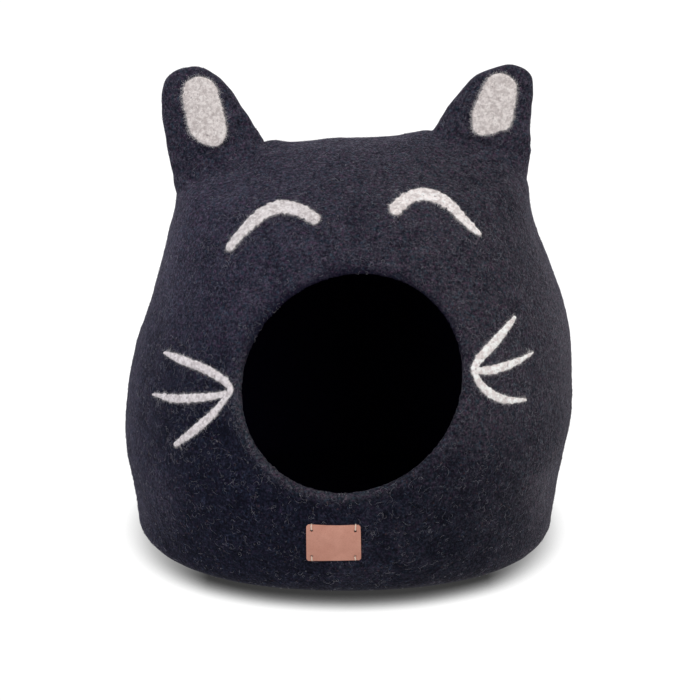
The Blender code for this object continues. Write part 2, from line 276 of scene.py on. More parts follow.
# The felt's creases and dents: how wide and how deep each is, how far the felt swells beside it,
# and where it runs on the face plane. Below zero, a depth is a raised fold.
Crease = namedtuple("Crease", "width depth swell points")
CREASES = table(
    Crease,
    (
        *(0.0022, 0.0030, 0.0012),
        ((0.1020, 0.3725), (0.1080, 0.3703), (0.1170, 0.3679), (0.1248, 0.3655), (0.1305, 0.3636)),
    ),
    (
        *(0.0032, 0.0018, 0.0008),
        ((0.1305, 0.3636), (0.1402, 0.3593), (0.1466, 0.3580), (0.1517, 0.3568), (0.1671, 0.3562)),
    ),
    (0.0034, 0.0016, 0.0008, ((0.1426, 0.3654), (0.1550, 0.3650), (0.1690, 0.3642))),
    (0.0036, 0.0016, 0.0006, ((0.0915, 0.3740), (0.0960, 0.3700), (0.1019, 0.3681))),
    (
        *(0.0032, 0.0030, 0.0010),
        ((-0.1367, 0.3575), (-0.1283, 0.3560), (-0.1189, 0.3590), (-0.1094, 0.3649)),
    ),
    (0.0062, 0.0042, 0.0014, ((-0.1050, 0.3720), (-0.1000, 0.3790))),
    (0.0060, 0.0016, 0.0008, ((-0.1588, 0.3400), (-0.1482, 0.3482), (-0.1380, 0.3560))),
    (0.0040, 0.0012, 0.0006, ((-0.0900, 0.3680), (-0.0781, 0.3627), (-0.0700, 0.3560))),
    (0.0034, -0.0010, 0.0, ((-0.0794, 0.3630), (-0.0822, 0.3500), (-0.0850, 0.3352))),
    (0.0034, 0.0009, 0.0005, ((0.0728, 0.3345), (0.0790, 0.3300), (0.0840, 0.3240))),
    (0.0034, 0.0010, 0.0005, ((0.0930, 0.3320), (0.1018, 0.3199), (0.1133, 0.3078))),
    (0.0034, 0.0008, 0.0004, ((0.1010, 0.3400), (0.1130, 0.3260), (0.1270, 0.3160))),
)
# How many widths from a crease's middle its swell is highest.
SWELL_AT = 1.9

# Spots of painted shade (amount below zero) and painted light (above zero), beyond what the height
# gives, on the face plane.
PaintedSpot = namedtuple("PaintedSpot", "x rise size amount")
PAINTED_SPOTS = table(
    PaintedSpot,
    (-0.098, 0.066, 0.034, -0.42),
    (-0.083, 0.032, 0.050, -0.25),
    (-0.060, 0.080, 0.022, -0.22),
    (-0.112, 0.175, 0.028, -0.10),
    (-0.160, 0.030, 0.030, 0.22),
    (-0.182, 0.215, 0.026, 0.25),
    (0.176, 0.048, 0.030, 0.60),
    (0.110, 0.120, 0.035, 0.32),
    (0.080, 0.045, 0.045, 0.22),
    (0.120, -0.010, 0.045, 0.18),
    (-0.154, 0.358, 0.014, -0.30),
    (-0.103, 0.380, 0.006, -0.45),
    (-0.168, 0.405, 0.016, 0.35),
    (0.168, 0.420, 0.016, 0.30),
    (-0.150, 0.300, 0.060, 0.18),
    (-0.104, 0.118, 0.014, 0.35),
    (0.102, 0.380, 0.013, -0.35),
    (0.014, 0.285, 0.018, -0.22),
    (-0.130, 0.300, 0.022, -0.16),
    (-0.120, 0.262, 0.028, -0.14),
    (-0.068, 0.252, 0.030, -0.20),
    (0.000, 0.040, 0.045, -0.18),
    (0.084, 0.318, 0.012, -0.20),
    (-0.050, 0.338, 0.026, 0.18),
    (0.050, 0.345, 0.030, 0.16),
    (0.098, 0.245, 0.035, 0.12),
)

# The ridge between the ears is uneven.
Hump = namedtuple("Hump", "x width height")
RIDGE_HUMPS = (Hump(-0.074, 0.016, 0.0036), Hump(-0.018, 0.026, 0.0016), Hump(0.072, 0.018, 0.0030))

# How far the brushed nap stands proud of the felt, the most that it fills up, and the height
# by which it and the lumps are at their full size.
NAP = 0.0009
NAP_MOST = 0.0030
NAP_FROM = 0.010
LIFT_FROM = 0.012
VOXEL = 0.0026
SHELL_TRIANGLES = 188000
SOFTEN_ROUNDS, SOFTEN_SHARE = 3, 0.5

# Up to which distance from the felt's outer surface a point belongs to it, fully and at all,
# and between which depths the inside begins, where the felt is painted near black as shade.
OUTER_SKIN = (0.0015, 0.0050)
INNER_SKIN = (0.0042, 0.0068)

# The folds before and behind the ears, which are smoothed: their height and its spread, and
# from where to where they begin across and along, from a middle a little behind the ridge.
EAR_FOLD_HEIGHT, EAR_FOLD_SPREAD = 0.366, 0.022
EAR_FOLD_ACROSS = (0.050, 0.075)
EAR_FOLD_ALONG, EAR_FOLD_MIDDLE = (0.006, 0.020), 0.008
FOLD_ROUNDS, FOLD_SHARE = 50, 0.6

# The felt's own lumps, large to small.
Lump = namedtuple("Lump", "size height")
LUMPS = table(Lump, (0.075, 0.0011), (0.026, 0.0008), (0.0085, 0.0004))
CREST_HEIGHT = (0.350, 0.372)
CREST_ALONG = (0.070, 0.030)

# Headings from the doorway's middle, in degrees: 0 is right and 90 is up.
TOP, UPPER_LEFT, LOW_LEFT, WORN_AND_LIT_HEADING = 85, 143, 225, 222

# What the felt does round the doorway: how far out, how wide and how much.
Band = namedtuple("Band", "at width amount")
LIP_SWELL = Band(0.007, 0.006, 0.0014)
LIP_HOLLOW = Band(0.023, 0.009, 0.0006)
LIP_HOLLOW_LOW_LEFT = 0.0014
LIP_ROLL = Band(0.001, 0.0065, 0.0042)
# The lower-left lip: lighter, worn wool there, and painted light where it faces up.
WORN_AND_LIT_LIP = Band(0.0035, 0.0050, 1.25)
# How wide the painted shade is where the doorway's rim turns in, more at the top and upper left.
RIM_SHADE_WIDTH = 0.0031
RIM_SHADE_WIDTH_TOP = 0.0012
RIM_SHADE_WIDTH_UPPER_LEFT = 0.0038

# The felt turns grey and light from one height to another, higher up on the left, and at the sides:
# partly its own greyer wool, partly painted light from the right-hand lamp, and painted sheen at the
# sides.
GREY_AND_LIT_HEIGHT = (0.105, 0.265)
PAINTED_LIGHT_TILT = 0.28
PAINTED_SHEEN_SIDES = 0.55
GREY_AND_LIT_MOST = 1.3

# What is laid on: rings in a rounded end, the underside's height, and the unevenness's sizes.
CAP_RINGS = 11
UNDERSIDE = -0.0004
WANDER_SIZES = (0.0035, 0.0013)
LUMP_SIZES = (0.0045, 0.0019)
HOLE_POINTS = 32
THREAD_POINTS = 26

# How light each wool is. The right-hand eye and whiskers are lighter copies of the same wool: painted
# light from the right-hand lamp.
WOOL_TINTS_WITH_PAINTED_LIGHT = {
    "ears": (0.955, 0.940, 0.915),
    "eye_left": (0.950, 0.952, 0.955),
    "eye_right": (1.130, 1.120, 1.100),
    "whiskers_left": (1.020, 1.018, 1.035),
    "whiskers_right": (1.280, 1.265, 1.240),
}
# Each piece of wool, and how many of its ends are frayed tips.
Laid = namedtuple("Laid", "node kind look strip laying tips")
LAID = table(
    Laid,
    ("ear_inlay_left", "ear", "ears", EAR_INLAY_LEFT, INLAY_LAYING, 0),
    ("ear_inlay_right", "ear", "ears", EAR_INLAY_RIGHT, INLAY_LAYING, 0),
    ("eye_left", "eye", "eye_left", EYE_LEFT, EYE_LAYING, 0),
    ("eye_right", "eye", "eye_right", EYE_RIGHT, EYE_LAYING, 0),
    ("whisker_bend_left", "whisker", "whiskers_left", WHISKER_BEND_LEFT, BEND_LAYING, 2),
    ("whisker_bend_right", "whisker", "whiskers_right", WHISKER_BEND_RIGHT, BEND_LAYING, 2),
    ("whisker_middle_left", "whisker", "whiskers_left", WHISKER_MIDDLE_LEFT, WHISKER_LAYING, 1),
    ("whisker_middle_right", "whisker", "whiskers_right", WHISKER_MIDDLE_RIGHT, WHISKER_LAYING, 1),
)

# How a fibre curls: its steps, its bend, how that wanders, and how high it arches.
Curling = namedtuple("Curling", "steps bend wobble height")
TUCK = 0.0001
# The fringe of a piece: its own pale fibres, and greyer ones that reach further.
Fringe = namedtuple("Fringe", "name share reach height")
FRINGES = table(Fringe, ("fuzz", 1.0, 0.0016, 0.0005), ("halo", 0.45, 0.0030, 0.0007))
FRINGE_LOOKS = (
    ("pale_wool_fibre", (0.70, 0.66, 0.65), (0.84, 0.81, 0.80), 0.9),
    ("mixed_wool_fibre", (0.20, 0.19, 0.21), (0.46, 0.44, 0.46), 0.9),
)
# How long and how dense the fringe of each kind of piece is.
FRINGE_SHARE = {"ear": 1.0, "eye": 0.85, "whisker": 0.66}
FUZZ_SPACING = 0.00015
FUZZ_RADIUS = 0.000062
FUZZ_INSET = (0.0002, 0.0022)
FUZZ_LEAST = 0.0007
FUZZ_LEAN = 0.8
FRAYED = 36
FRAY_LENGTH = 0.010
FRAY_WIDTH, FRAY_LEAN = 0.22, 0.16
FRAY_CURLING = Curling(5, 90.0, 60.0, 0.0006)

Stray = namedtuple("Stray", "name count radius length bend one other")
STRAYS = (
    Stray("felt_fibres_grey", 4300, 0.000095, 0.0066, 620.0, (0.10, 0.10, 0.125), (0.24, 0.235, 0.27)),
    Stray("felt_fibres_pale", 2600, 0.000080, 0.0074, 620.0, (0.16, 0.155, 0.19), (0.34, 0.33, 0.37)),
    Stray("felt_fibres_blue", 1300, 0.000060, 0.0065, 480.0, (0.05, 0.072, 0.125), (0.10, 0.135, 0.21)),
    Stray("felt_fibres_rust", 600, 0.000060, 0.0050, 480.0, (0.12, 0.070, 0.065), (0.20, 0.13, 0.11)),
)

# The floor: how near the felt its painted shadow reaches, and how light it is at each share of open
# sky.
FLOOR_SIZE = 14.0
FLOOR_GAP = 0.0004
FLOOR_SHADE = 0.030
FLOOR_TONES = ((0.20, 0.040), (0.40, 0.15), (0.55, 0.35), (0.70, 0.62), (0.86, 0.89), (1.00, 1.0))
FLOOR_STRENGTH = 1.1
# The shade is paler at the sides: from where to where across, and by how much in the end.
SHADE_SIDES = (0.130, 0.210, 0.55)
SKY, UNDER, HORIZON = 0.58, 0.46, 0.15

# The lights look at the middle of the cave, at the lit height.
LIT_HEIGHT = 0.2
Light = namedtuple("Light", "name size power colour at")
LIGHTS = (
    Light("top", 1.6, 5.5, (1.0, 1.0, 1.0), (0.10, 0.20, 2.0)),
    Light("key", 1.3, 16.0, (1.0, 0.985, 0.96), (1.15, -2.0, 1.20)),
    Light("fill", 1.2, 12.0, (0.87, 0.91, 1.0), (-1.45, -1.85, 0.75)),
    Light("rim_left", 0.8, 9.0, (0.86, 0.84, 1.0), (-1.55, 1.05, 0.85)),
    Light("rim_right", 0.8, 7.0, (0.94, 0.92, 1.0), (1.60, 1.05, 0.45)),
)

# The camera, for a square picture of that many pixels.
IMAGE_PIXELS = 700
FOCAL_PIXELS = 1734.0
SHIFT_PIXELS = (2.0, -8.0)
ELEVATION = math.radians(17)
DISTANCE = 1.7
AIM_HEIGHT = 0.1855


# ---------------------------------------------------------------- shapes
def curve_through(rows):
    """The length of the smooth curve that runs through the rows, and the row at a distance.

    The rows' last column is carried along and doesn't count as a distance."""
    rows = np.array(rows, float)
    steps = np.linalg.norm(np.diff(rows[:, :-1], axis=0), axis=1)
    places = np.concatenate([[0.0], np.cumsum(steps)])
    slopes = np.gradient(rows, places, axis=0)

    def row_at(place):
        i = min(int(np.searchsorted(places, place, side="right")) - 1, len(rows) - 2)
        gap = places[i + 1] - places[i]
        t = (place - places[i]) / gap
        return (
            (2 * t**3 - 3 * t**2 + 1) * rows[i]
            + (t**3 - 2 * t**2 + t) * slopes[i] * gap
            + (3 * t**2 - 2 * t**3) * rows[i + 1]
            + (t**3 - t**2) * slopes[i + 1] * gap
        )

    return places[-1], row_at


def smooth_rows(rows, count):
    length, row_at = curve_through(rows)
    return [row_at(place) for place in np.linspace(0.0, length, count)]


def superellipse(angle, power):
    x, y = math.cos(angle), math.sin(angle)
    return (
        math.copysign(abs(x) ** (2 / power), x),
        math.copysign(abs(y) ** (2 / power), y),
    )


def linked(name, data):
    obj = bpy.data.objects.new(name, data)
    bpy.context.scene.collection.objects.link(obj)
    return obj


def loft(name, rings, closed_top=True):
    """A closed mesh through the rings. It needs no top face where its last ring is a line."""
    mesh = bmesh.new()
    rows = [[mesh.verts.new(point) for point in ring] for ring in rings]
    count = len(rings[0])
    for below, above in zip(rows, rows[1:]):
        for i in range(count):
            j = (i + 1) % count
            mesh.faces.new((below[i], below[j], above[j], above[i]))
    mesh.faces.new(reversed(rows[0]))
    if closed_top:
        mesh.faces.new(rows[-1])
    bmesh.ops.remove_doubles(mesh, verts=mesh.verts, dist=1e-5)
    bmesh.ops.recalc_face_normals(mesh, faces=mesh.faces)
    if mesh.calc_volume(signed=True) < 0:
        bmesh.ops.reverse_faces(mesh, faces=mesh.faces)
    data = bpy.data.meshes.new(name)
    mesh.to_mesh(data)
    mesh.free()
    data.shade_smooth()
    return linked(name, data)


def ridge_lift(x, z):
    share = max(0.0, (z - RIDGE_TILT_FROM) / (RIDGE_HEIGHT - RIDGE_TILT_FROM))
    return RIDGE_TILT * x * share**2


def body_rings():
    rings = []
    for height, left, right, front, back, power in smooth_rows(BODY, BODY_RINGS):
        middle_x, half_x = (right - left) / 2, (left + right) / 2
        middle_y, half_y = (back - front) / 2, (front + back) / 2
        ring = []
        for i in range(BODY_POINTS):
            across, along = superellipse(2 * math.pi * i / BODY_POINTS, power)
            x, y = middle_x + half_x * across, middle_y + half_y * along
            ring.append(Vector((x, y, height + ridge_lift(x, height))))
        rings.append(ring)
    return rings


def ear_rings(sections, side):
    rings = []
    for height, outer, inner, depth, back_shift in smooth_rows(sections, EAR_RINGS):
        middle_x, half_x = side * (outer + inner) / 2, (outer - inner) / 2
        ring = []
        for i in range(EAR_POINTS):
            across, along = superellipse(2 * math.pi * i / EAR_POINTS, EAR_SQUARENESS)
            cup = EAR_CUP * (1 - across**2) * min(1.0, depth / EAR_CUP_DEPTH)
            y = back_shift + depth * along + cup
            ring.append(Vector((middle_x + half_x * across, y, height)))
        rings.append(ring)
    return rings


def boolean(obj, operation, other):
    modifier = obj.modifiers.new(operation.lower(), "BOOLEAN")
    modifier.operation = operation
    modifier.object = other
    modifier.solver = "MANIFOLD"


def baked(obj):
    """Applies the modifiers of obj."""
    graph = bpy.context.evaluated_depsgraph_get()
    mesh = bpy.data.meshes.new_from_object(obj.evaluated_get(graph), depsgraph=graph)
    obj.modifiers.clear()
    old, obj.data = obj.data, mesh
    bpy.data.meshes.remove(old)


def tree_of(obj):
    mesh = obj.data
    return BVHTree.FromPolygons(
        [vertex.co for vertex in mesh.vertices], [tuple(face.vertices) for face in mesh.polygons]
    )


def door_cutter(outside, inside):
    """A spool, narrowest in the middle of the wall, so that the felt keeps a rounded lip."""
    def in_wall(place):
        outer = outside.ray_cast(place + OUT * DOOR_REACH, -OUT)[0]
        return outer.lerp(inside.ray_cast(outer, -OUT)[0], LIP_DEPTH / WALL)

    long_way = ACROSS * math.cos(DOOR_TURN) + RISE * math.sin(DOOR_TURN)
    short_way = RISE * math.cos(DOOR_TURN) - ACROSS * math.sin(DOOR_TURN)
    columns = []
    for i in range(DOOR_POINTS):
        angle = 2 * math.pi * i / DOOR_POINTS
        place = (
            DOOR_MIDDLE
            + long_way * DOOR_LONG * math.cos(angle)
            + short_way * DOOR_SHORT * math.sin(angle)
        )
        outwards = (place - DOOR_MIDDLE).normalized()
        middle = in_wall(place)
        along = (in_wall(place + outwards * LIP_PROBE) - middle).normalized()
        normal = (OUT - along * OUT.dot(along)).normalized()
        lip = []
        for turn in np.radians(np.linspace(-LIP_TURN, LIP_TURN, LIP_POINTS)):
            run, depth = LIP_OUTER if turn > 0 else LIP_INNER
            lip.append(
                middle + along * run * (1 - math.cos(turn)) + normal * depth * math.sin(turn)
            )
        leave = (lip[-1] - lip[-2]).normalized()
        enter = (lip[0] - lip[1]).normalized()
        lip = [lip[0] + enter * FLARE, *lip, lip[-1] + leave * FLARE]
        first = lip[0] - OUT * (OUT.dot(lip[0] - DOOR_MIDDLE) + DOOR_REACH / 2)
        last = lip[-1] - OUT * (OUT.dot(lip[-1] - DOOR_MIDDLE) - DOOR_REACH / 2)
        columns.append([first, *lip, last])
    return loft("door_cutter", [list(ring) for ring in zip(*columns)])


def rows_of(items, key):
    """A three-part value of each item, such as its place, as an array with a row for each."""
    values = np.zeros(len(items) * 3)
    items.foreach_get(key, values)
    return values.reshape(-1, 3)


def set_points(mesh, points):
    mesh.vertices.foreach_set("co", points.astype(np.float32).ravel())
    mesh.update()


def mark(mesh, name, values):
    values = np.array(values, np.float32)
    mesh.attributes.new(name, "FLOAT", "POINT").data.foreach_set("value", values)


def relax(mesh, points, rounds, share):
    """Moves each point towards the middle of its neighbours; share is how far, point by point."""
    edges = np.zeros(len(mesh.edges) * 2, int)
    mesh.edges.foreach_get("vertices", edges)
    one, other = edges.reshape(-1, 2).T
    ends = np.concatenate([one, other])
    count = np.bincount(ends, minlength=len(points)).astype(float)[:, None]
    for _ in range(rounds):
        columns = [np.concatenate([points[other, k], points[one, k]]) for k in range(3)]
        total = np.stack([np.bincount(ends, column, len(points)) for column in columns], axis=1)
        points = points + (total / count - points) * share[:, None]
    return points


def smooth_step(low, high, value):
    t = np.clip((value - low) / (high - low), 0.0, 1.0)
    return t * t * (3 - 2 * t)


def bell(distance, width):
    """1 at no distance, and falling softly to about a third at the width."""
    return np.exp(-((distance / width) ** 2))


def field(points, size, seed):
    """Soft lumps of about that size, from -1 to 1."""
    shift = Vector((seed * 7.13, seed * 3.71, seed * 5.37))
    return np.array([noise.noise(Vector(p) / size + shift) for p in points])


def line_distance(x, rise, points):
    """How far each place on the face plane is from a line through the points."""
    best = np.full(len(x), 1e9)
    for (x0, r0), (x1, r1) in zip(points, points[1:]):
        dx, dr = x1 - x0, r1 - r0
        t = np.clip(((x - x0) * dx + (rise - r0) * dr) / (dx * dx + dr * dr), 0.0, 1.0)
        best = np.minimum(best, np.hypot(x - x0 - t * dx, rise - r0 - t * dr))
    return best


def door_place(x, rise):
    """How far outside the doorway each place on the face plane is, and in which direction."""
    right, up = x - DOOR_MIDDLE.x, rise - DOOR_MIDDLE.dot(RISE)
    long_way = right * math.cos(DOOR_TURN) + up * math.sin(DOOR_TURN)
    short_way = up * math.cos(DOOR_TURN) - right * math.sin(DOOR_TURN)
    share = np.hypot(long_way / DOOR_LONG, short_way / DOOR_SHORT)
    return np.hypot(right, up) * (1 - 1 / np.maximum(share, 0.1)), np.arctan2(up, right)


def towards(angle, heading):
    """1 where the angle is the heading, falling to 0 a quarter turn away."""
    return np.clip(np.cos(angle - math.radians(heading)), 0.0, 1.0)


# ---------------------------------------------------------------- the felt house
def rough_felt():
    """The felt house as one even mesh, and its outer surface as it was before the doorway."""
    body = loft("felt_house", body_rings(), closed_top=False)
    tools = []
    for name, sections, side in (("ear_l", LEFT_EAR, -1), ("ear_r", RIGHT_EAR, 1)):
        ear = loft(name, ear_rings(sections, side))
        boolean(body, "UNION", ear)
        tools.append(ear)
    baked(body)
    outside = tree_of(body)
    cavity = loft("cavity", body_rings(), closed_top=False)
    shrink = cavity.modifiers.new("wall", "DISPLACE")
    shrink.strength = -WALL
    shrink.mid_level = 0.0
    baked(cavity)
    cutter = door_cutter(outside, tree_of(cavity))
    boolean(body, "DIFFERENCE", cavity)
    boolean(body, "DIFFERENCE", cutter)
    baked(body)
    voxels = body.modifiers.new("voxels", "REMESH")
    voxels.mode = "VOXEL"
    voxels.voxel_size = VOXEL
    baked(body)
    for tool in [*tools, cavity, cutter]:
        bpy.data.objects.remove(tool, do_unlink=True)
    return body, outside


def ear_folds(points, out_share):
    """1 at the folds in front of and behind each ear, where it grows out of the body."""
    fold = bell(points[:, 2] - EAR_FOLD_HEIGHT, EAR_FOLD_SPREAD) * out_share
    fold = fold * smooth_step(*EAR_FOLD_ACROSS, np.abs(points[:, 0]))
    return fold * smooth_step(*EAR_FOLD_ALONG, np.abs(points[:, 1] - EAR_FOLD_MIDDLE))


def unevenness(points, normals):
    """How far the felt swells at each point: its lumps, its lip, its ridge and its creases."""
    x, rise = points[:, 0], points @ np.array(RISE)
    facing = np.clip(normals @ np.array(OUT) * 3.0, 0.0, 1.0)
    lift = sum(lump.height * field(points, lump.size, i) for i, lump in enumerate(LUMPS, 1))
    door, angle = door_place(x, rise)
    upper = smooth_step(-0.2, 0.6, np.sin(angle))
    hollow = LIP_HOLLOW.amount + LIP_HOLLOW_LOW_LEFT * towards(angle, LOW_LEFT)
    lift += facing * (1 - upper) * LIP_SWELL.amount * bell(door - LIP_SWELL.at, LIP_SWELL.width)
    lift -= facing * hollow * bell(door - LIP_HOLLOW.at, LIP_HOLLOW.width)
    past_edge = np.maximum(door - LIP_ROLL.at, 0.0)
    lift -= facing * upper * LIP_ROLL.amount * bell(past_edge, LIP_ROLL.width)
    crest = smooth_step(*CREST_HEIGHT, points[:, 2])
    crest = crest * smooth_step(*CREST_ALONG, np.abs(points[:, 1]))
    for hump in RIDGE_HUMPS:
        lift += crest * hump.height * bell(x - hump.x, hump.width)
    for crease in CREASES:
        away = line_distance(x, rise, crease.points) / crease.width
        lift += facing * (crease.swell * bell(away - SWELL_AT, 1.0) - crease.depth * bell(away, 1.0))
    return lift


def make_shell():
    body, outside = rough_felt()
    mesh = body.data
    points = rows_of(mesh.vertices, "co")
    away = np.array([outside.find_nearest(Vector(p))[3] for p in points])
    out_share = 1.0 - smooth_step(*OUTER_SKIN, away)
    points = relax(mesh, points, SOFTEN_ROUNDS, np.full(len(points), SOFTEN_SHARE))
    folds = ear_folds(points, out_share)
    points = relax(mesh, points, FOLD_ROUNDS, FOLD_SHARE * folds)
    set_points(mesh, points)
    normals = rows_of(mesh.vertex_normals, "vector")
    nap = []
    for point, normal in zip(points, normals):
        felt = outside.find_nearest(Vector(point))[0]
        nap.append(NAP - float(np.dot(point - np.array(felt), normal)))
    nap = np.clip(nap, 0.0, NAP_MOST) * (1 - folds) * smooth_step(0.0, NAP_FROM, points[:, 2])
    points = points + normals * (nap * out_share)[:, None]
    lift = unevenness(points, normals)
    low = smooth_step(0.0, LIFT_FROM, points[:, 2])
    points = points + normals * (lift * out_share * low)[:, None]
    points[:, 2] = np.maximum(points[:, 2], 0.0)
    set_points(mesh, points)

    mesh.calc_loop_triangles()
    thin = body.modifiers.new("thin", "DECIMATE")
    thin.ratio = SHELL_TRIANGLES / len(mesh.loop_triangles)
    baked(body)
    body.data.shade_smooth()
    mark_felt(body.data, outside)
    return body


def mark_felt(mesh, outside):
    """Marks how far inside the cave each point is, for its painted shade; how grey and lit, partly its
    own grey and partly painted light and shade; how worn and lit its lip; and how blue.
    """
    points = rows_of(mesh.vertices, "co")
    x, z = points[:, 0], points[:, 2]
    rise = points @ np.array(RISE)
    depth = []
    for point in points:
        felt, normal = outside.find_nearest(Vector(point))[:2]
        depth.append(normal.dot(felt - Vector(point)))
    door, angle = door_place(x, rise)
    front = 1 - smooth_step(-0.06, 0.02, points[:, 1])

    # Painted shade round the top and upper left of the doorway, where the rim turns in away from the
    # light.
    rim_shade_width = RIM_SHADE_WIDTH + RIM_SHADE_WIDTH_TOP * towards(angle, TOP)
    rim_shade_width = rim_shade_width + RIM_SHADE_WIDTH_UPPER_LEFT * towards(angle, UPPER_LEFT) ** 2
    rim_shade_falloff = np.exp(-((np.maximum(door, 0.0) / rim_shade_width) ** 1.5))
    painted_rim_shade = front * 0.92 * smooth_step(-0.1, 0.5, np.sin(angle)) * rim_shade_falloff
    # Painted shade: deep in the wall the felt is painted near black, and the doorway's top rim joins
    # it.
    inside = np.maximum(smooth_step(*INNER_SKIN, np.array(depth)), painted_rim_shade)

    # The lower-left lip is lighter: worn wool, and painted light where it faces up.
    worn_and_lit_lip = bell(np.maximum(door - WORN_AND_LIT_LIP.at, 0.0), WORN_AND_LIT_LIP.width) * front
    worn_and_lit_lip = worn_and_lit_lip * np.clip(WORN_AND_LIT_LIP.amount * towards(angle, WORN_AND_LIT_HEADING), 0.0, 0.9)

    # Greyer and lighter higher up and towards the right-hand lamp: partly the wool's own grey, partly
    # painted light. Lighter at the sides as painted sheen.
    grey_and_lit = smooth_step(*GREY_AND_LIT_HEIGHT, z + PAINTED_LIGHT_TILT * x * front)
    grey_and_lit = np.maximum(grey_and_lit, PAINTED_SHEEN_SIDES * smooth_step(0.135, 0.205, np.abs(x)))
    # Spots of painted shade and painted light.
    for tone in PAINTED_SPOTS:
        away = np.hypot(x - tone.x, rise - tone.rise)
        grey_and_lit += front * tone.amount * bell(away, tone.size)
    # Painted shade along the creases.
    for crease in CREASES:
        away = line_distance(x, rise, crease.points)
        grey_and_lit -= front * 0.45 * (crease.depth / 0.003) * bell(away, crease.width * 1.2)

    mark(mesh, "inside", inside)
    mark(mesh, "grey_and_lit", np.clip(grey_and_lit, 0.0, GREY_AND_LIT_MOST))
    mark(mesh, "lip", worn_and_lit_lip)
    mark(mesh, "cool", front * (0.5 - 0.5 * np.tanh(x / 0.12)) + (1 - front) * 0.5)


# ---------------------------------------------------------------- what is laid on the felt
def pressed(felt, x, rise, height):
    """The point that far above the felt, over that place on the face plane, and its normal."""
    start = ACROSS * x + RISE * rise + OUT
    point, normal = felt.ray_cast(start, -OUT)[:2]
    return point + normal * height, normal


def mark_edges(mesh, crowns):
    """Marks how thin the wool is at each point: 1 at the piece's edge, 0 where it is full."""
    tree = KDTree(len(crowns))
    for i, (place, _) in enumerate(crowns):
        tree.insert(place, i)
    tree.balance()
    mark(mesh, "thin", [1.0 - crowns[tree.find(vertex.co)[1]][1] for vertex in mesh.vertices])


def edge_wander(place, side, seed):
    coarse = noise.noise(Vector((place / WANDER_SIZES[0], side * 9.0, seed)))
    fine = noise.noise(Vector((place / WANDER_SIZES[1], side * 5.0, seed + 3.0)))
    return coarse + 0.6 * fine


def lumpiness(place, shift, seed):
    spot = Vector((place, shift, 0.0))
    coarse = noise.noise(spot / LUMP_SIZES[0] + Vector((seed, 0.0, 2.0)))
    fine = noise.noise(spot / LUMP_SIZES[1] + Vector((seed, 5.0, 0.0)))
    return coarse + 0.7 * fine


def places_along(length, caps, count):
    """Places along a strip, closer together in its rounded ends."""
    turns = np.linspace(0.0, math.pi / 2, CAP_RINGS)
    starts = [caps[0] * (1 - math.cos(turn)) for turn in turns]
    ends = [length - caps[1] * (1 - math.cos(turn)) for turn in reversed(turns)]
    middle = np.linspace(caps[0], length - caps[1], count - 2 * (CAP_RINGS - 2))[1:-1]
    return [*starts, *middle, *ends]


def lay_piece(name, strip, laying, felt, seed):
    """A strip of wool or leather that follows the felt, and its outline on the face plane."""
    length, row_at = curve_through(strip)
    caps = [laying.round_end * strip[0].half_width, laying.round_end * strip[-1].half_width]
    rings, left, right, crowns = [], [], [], []
    for place in places_along(length, caps, laying.along):
        x, rise, full_width = row_at(place)
        before, after = row_at(max(place - 1e-4, 0.0)), row_at(min(place + 1e-4, length))
        step = np.array(after[:2] - before[:2]) / np.linalg.norm(after[:2] - before[:2])
        near = min(place / caps[0], (length - place) / caps[1], 1.0)
        fullness = math.sqrt(max(0.0, 1 - (1 - near) ** 2))
        half_width = full_width - min(full_width, laying.corner) * (1 - fullness)
        below, above = [], []
        for share in np.sin(np.linspace(-math.pi / 2, math.pi / 2, laying.across)):
            wander = edge_wander(place, math.copysign(1.0, share), seed)
            shift = share * (half_width + laying.ragged * wander * abs(share) * fullness)
            crown = math.sqrt(max(0.0, 1 - share**2)) * fullness
            height = laying.edge + (laying.thickness - laying.edge) * crown**0.8
            height += laying.lumps * lumpiness(place, shift, seed) * min(1.0, 2.5 * crown)
            where = (x - step[1] * shift, rise + step[0] * shift)
            below.append(pressed(felt, *where, UNDERSIDE)[0])
            above.append(pressed(felt, *where, height)[0])
            inset = min(half_width * (1 - abs(share)), place, length - place)
            crowns.append((above[-1], min(1.0, max(0.0, inset) / (THIN_EDGE * full_width))))
            if share == -1.0:
                left.append(where)
        right.append(where)
        rings.append(below + above[::-1])
    piece = loft(name, rings)
    mark_edges(piece.data, crowns)
    return piece, np.array(left + right[::-1])


def tube(points, radius, sides, taper=True):
    """The vertices and faces of a closed tube along the points."""
    points = [Vector(p) for p in points]
    verts, faces = [], []
    last = len(points) - 1
    for i, point in enumerate(points):
        way = (points[min(i + 1, last)] - points[max(i - 1, 0)]).normalized()
        one = way.orthogonal().normalized()
        if i:
            one = (turned - way * turned.dot(way)).normalized()
        turned = one
        two = way.cross(one)
        size = radius
        if taper:
            size *= 0.35 + 0.65 * math.sin(math.pi * (i + 0.5) / (last + 1))
        for k in range(sides):
            angle = 2 * math.pi * k / sides
            verts.append(point + (one * math.cos(angle) + two * math.sin(angle)) * size)
    for i in range(last):
        for k in range(sides):
            a, b = i * sides + k, i * sides + (k + 1) % sides
            faces.append((a, b, b + sides, a + sides))
    faces.append(tuple(reversed(range(sides))))
    faces.append(tuple(range(last * sides, (last + 1) * sides)))
    return verts, faces


def joined(name, tubes):
    verts, faces = [], []
    for more, ways in tubes:
        start = len(verts)
        verts += more
        faces += [tuple(i + start for i in way) for way in ways]
    mesh = bpy.data.meshes.new(name)
    mesh.from_pydata(verts, [], faces)
    mesh.shade_smooth()
    return linked(name, mesh)


